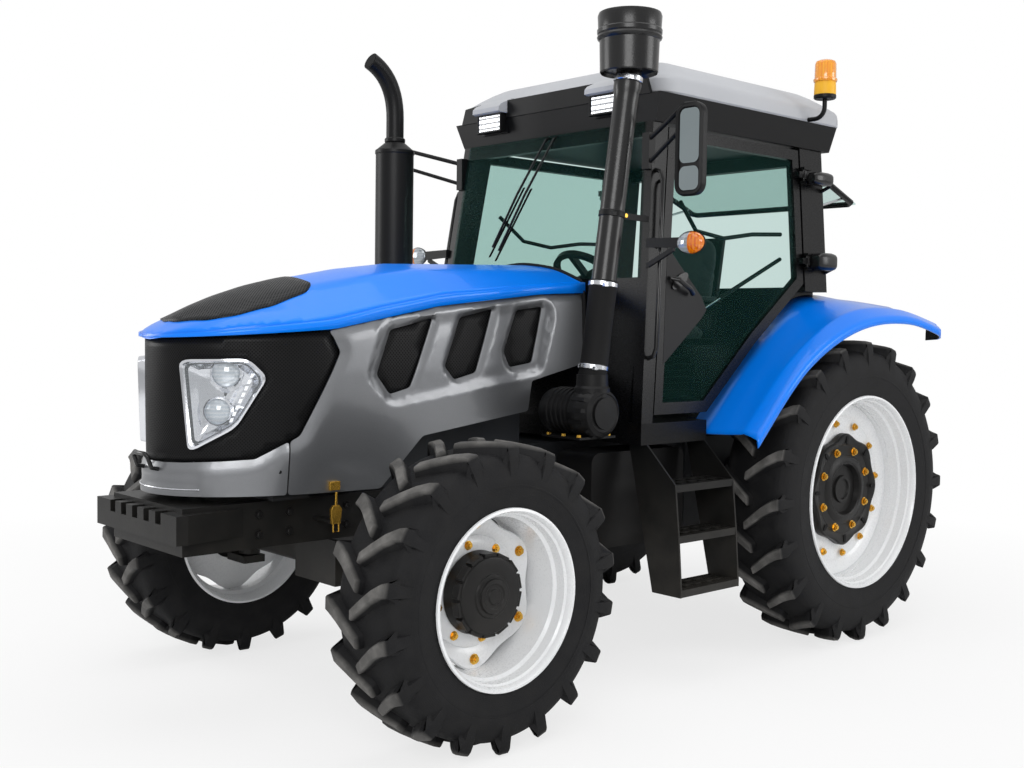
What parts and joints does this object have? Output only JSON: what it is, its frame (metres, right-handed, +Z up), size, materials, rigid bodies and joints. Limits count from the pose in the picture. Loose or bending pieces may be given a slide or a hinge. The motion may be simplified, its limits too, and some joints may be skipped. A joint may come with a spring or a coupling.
{
  "type": "farm tractor",
  "caption": "Farm tractor with a glazed cab, tilting hood, lugged tyres, side steps, roof lamps, upright intake and exhaust stacks and a rear implement hitch.",
  "frame": {"origin": "on the ground below the middle of the tractor's overall box", "axes": "+X forward toward the nose, +Y to the driver's left, +Z up"},
  "size_m": [4.498, 2.314, 3.07],
  "materials": {
    "tyre": "matte",
    "wheel_white": "gloss",
    "hub_black": "satin",
    "chassis_black": "satin",
    "engine_grey": "satin",
    "radiator_black": "matte",
    "cab_black": "satin",
    "trim_black": "matte",
    "trim_gloss": "gloss",
    "roof_pale": "gloss",
    "glass": "gloss",
    "paint_blue": "gloss",
    "paint_silver": "satin",
    "exhaust_black": "matte",
    "lamp_clear": "gloss",
    "lamp_red": "gloss",
    "lamp_amber": "gloss",
    "seat_grey": "matte"
  },
  "bodies": {
    "chassis": {"front_axle": "chassis_black", "front_support": "chassis_black", "front_bumper": "chassis_black", "engine_block": "engine_grey", "radiator": "radiator_black", "gearbox": "engine_grey", "rear_axle_housing": "engine_grey", "drawbar": "chassis_black", "cab_tub": "cab_black", "cab_front_frame": "cab_black", "cab_rear_frame": "cab_black", "roof_liner": "trim_black", "roof": "roof_pale", "windscreen": "glass", "rear_window": "glass", "fenders": "paint_blue", "steps": "chassis_black", "tanks": "trim_black", "air_cleaner": "trim_black", "intake_stack": "trim_black", "exhaust_stack": "exhaust_black", "mirrors": "trim_black", "turn_lamps": "lamp_clear", "work_lamps": "lamp_clear", "rear_lamps": "lamp_red", "beacon": "lamp_amber", "seat": "seat_grey", "dashboard": "trim_black", "steering_wheel": "trim_black"},
    "hood": {"hood_top": "paint_blue", "hood_top_grille": "trim_black", "hood_sides": "paint_silver", "hood_nose": "trim_gloss", "headlights": "lamp_clear", "hood_vents": "trim_black"},
    "door_left": {"door_left": "cab_black", "door_glass_left": "glass"},
    "door_right": {"door_right": "cab_black", "door_glass_right": "glass"},
    "knuckle_left": {"knuckle_left": "chassis_black"},
    "knuckle_right": {"knuckle_right": "chassis_black"},
    "wheel_front_left": {"tyre_front_left": "tyre", "rim_front_left": "wheel_white", "hub_front_left": "hub_black"},
    "wheel_front_right": {"tyre_front_right": "tyre", "rim_front_right": "wheel_white", "hub_front_right": "hub_black"},
    "wheel_rear_left": {"tyre_rear_left": "tyre", "rim_rear_left": "wheel_white", "hub_rear_left": "hub_black"},
    "wheel_rear_right": {"tyre_rear_right": "tyre", "rim_rear_right": "wheel_white", "hub_rear_right": "hub_black"},
    "lower_links": {"lower_links": "chassis_black"},
    "lift_arms": {"lift_arms": "chassis_black"}
  },
  "joints": [
    {"name": "steer_left", "type": "hinge", "parent": "chassis", "child": "knuckle_left", "pos_m": [1.298, 0.77, 0.602], "axis": [0, 0, 1], "range_deg": [-45, 45]},
    {"name": "steer_right", "type": "hinge", "parent": "chassis", "child": "knuckle_right", "pos_m": [1.298, -0.77, 0.602], "axis": [0, 0, 1], "range_deg": [-45, 45]},
    {"name": "spin_front_left", "type": "hinge", "parent": "knuckle_left", "child": "wheel_front_left", "pos_m": [1.298, 0.967, 0.602], "axis": [0, 1, 0], "continuous": true},
    {"name": "spin_rear_left", "type": "hinge", "parent": "chassis", "child": "wheel_rear_left", "pos_m": [-1.29, 0.897, 0.797], "axis": [0, 1, 0], "continuous": true},
    {"name": "spin_front_right", "type": "hinge", "parent": "knuckle_right", "child": "wheel_front_right", "pos_m": [1.298, -0.967, 0.602], "axis": [0, 1, 0], "continuous": true},
    {"name": "spin_rear_right", "type": "hinge", "parent": "chassis", "child": "wheel_rear_right", "pos_m": [-1.29, -0.897, 0.797], "axis": [0, 1, 0], "continuous": true},
    {"name": "door_left_swing", "type": "hinge", "parent": "chassis", "child": "door_left", "pos_m": [-1.178, 0.74288, 2.24], "axis": [0, -0.0778, 0.997], "range_deg": [0, 60]},
    {"name": "door_right_swing", "type": "hinge", "parent": "chassis", "child": "door_right", "pos_m": [-1.178, -0.74288, 2.24], "axis": [0, -0.0778, -0.997], "range_deg": [0, 60]},
    {"name": "hood_lift", "type": "hinge", "parent": "chassis", "child": "hood", "pos_m": [0.216, 0, 1.85], "axis": [0, -1, 0], "range_deg": [0, 45]},
    {"name": "lower_link_lift", "type": "hinge", "parent": "chassis", "child": "lower_links", "pos_m": [-1.47, 0, 0.59], "axis": [0, 1, 0], "range_deg": [-15, 25]},
    {"name": "lift_arm_swing", "type": "hinge", "parent": "chassis", "child": "lift_arms", "pos_m": [-1.48, 0, 0.95], "axis": [0, 1, 0], "range_deg": [-35, 60]}
  ],
  "couplings": [
    {"joint": "steer_right", "follows": "steer_left", "ratio": 1},
    {"joint": "lift_arm_swing", "follows": "lower_link_lift", "ratio": 2.2}
  ]
}
